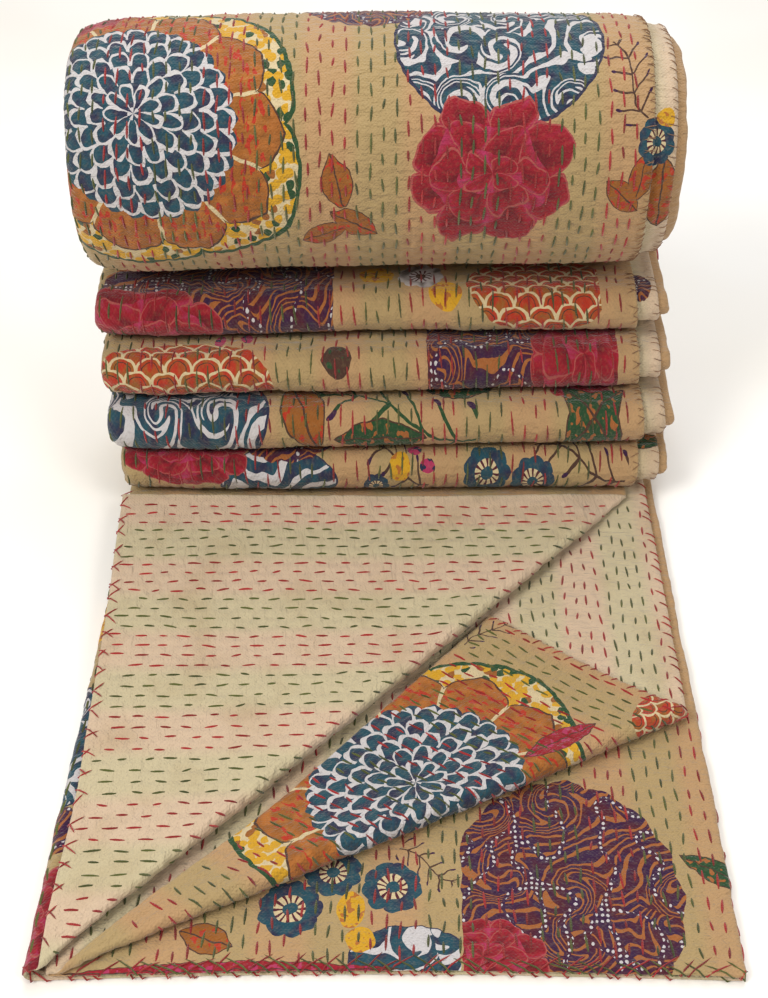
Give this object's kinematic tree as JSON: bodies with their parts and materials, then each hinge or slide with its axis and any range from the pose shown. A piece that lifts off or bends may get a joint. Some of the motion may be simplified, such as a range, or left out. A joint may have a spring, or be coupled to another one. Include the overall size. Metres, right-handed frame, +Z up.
{
  "type": "kantha quilt",
  "caption": "Hand-quilted cotton bed quilt, folded lengthwise, pleated to and fro with its end rolled on top and its front laid out flat with two corners turned back.",
  "frame": {"origin": "on the floor, under the middle of the quilt's box", "axes": "+Z up; +Y from the laid-out front edge back to the roll; +X to the right, seen from the front"},
  "size_m": [0.4062, 0.542, 0.3247],
  "materials": {
    "quilted_cotton": "soft matte cotton, printed on one side and plain beige on the other, with rows of red and green running stitch"
  },
  "bodies": {
    "root": {"quilt": "quilted_cotton"}
  },
  "joints": []
}
